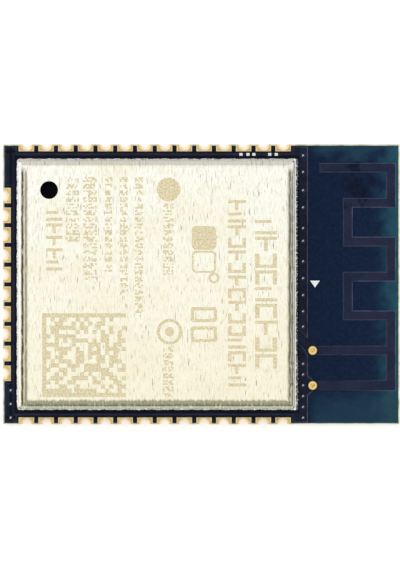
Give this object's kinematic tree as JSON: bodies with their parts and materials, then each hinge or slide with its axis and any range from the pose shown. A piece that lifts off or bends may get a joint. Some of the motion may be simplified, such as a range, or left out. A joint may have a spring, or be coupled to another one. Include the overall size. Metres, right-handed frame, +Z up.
{
  "type": "wifi module",
  "caption": "Castellated surface-mount radio module: notched circuit board with plated half-hole pads on three sides, a folded shield can and a printed meander antenna.",
  "frame": {"origin": "centre of the module's outline, on the plane of its underside pads", "axes": "+X along the board towards the antenna end, +Y towards the long edge next to the antenna's open arm, +Z up out of the shield can's lid"},
  "size_m": [0.0254, 0.018, 0.0031],
  "materials": {
    "laminate": "satin",
    "solder_mask": "gloss",
    "copper": "satin",
    "gold": "satin",
    "tin": "satin",
    "can": "satin",
    "package": "matte",
    "crystal_ceramic": "matte",
    "crystal_lid": "satin",
    "capacitor_ceramic": "satin",
    "alumina": "satin",
    "inductor_ceramic": "satin"
  },
  "bodies": {
    "root": {"board": "laminate", "top_mask": "solder_mask", "bottom_mask": "solder_mask", "top_ground": "copper", "bottom_ground": "copper", "antenna": "copper", "feed_track": "copper", "feed_hole": "gold", "grounding_hole": "gold", "stitching_holes": "copper", "front_pads": "gold", "back_pads": "gold", "end_pads_row": "gold", "ground_pad": "gold", "heat_holes": "copper", "shield_land": "gold", "shield_solder": "tin", "shield_can": "can", "soc_lands": "gold", "soc_leads": "tin", "soc_paddle": "tin", "soc_body": "package", "flash_lands": "gold", "flash_leads": "tin", "flash_body": "package", "crystal_lands": "gold", "crystal_base": "crystal_ceramic", "crystal_cap": "crystal_lid", "chip_lands": "gold", "capacitor_bodies": "capacitor_ceramic", "capacitor_ends": "tin", "resistor_bodies": "alumina", "resistor_ends": "tin", "inductor_bodies": "inductor_ceramic", "inductor_ends": "tin"}
  },
  "joints": []
}
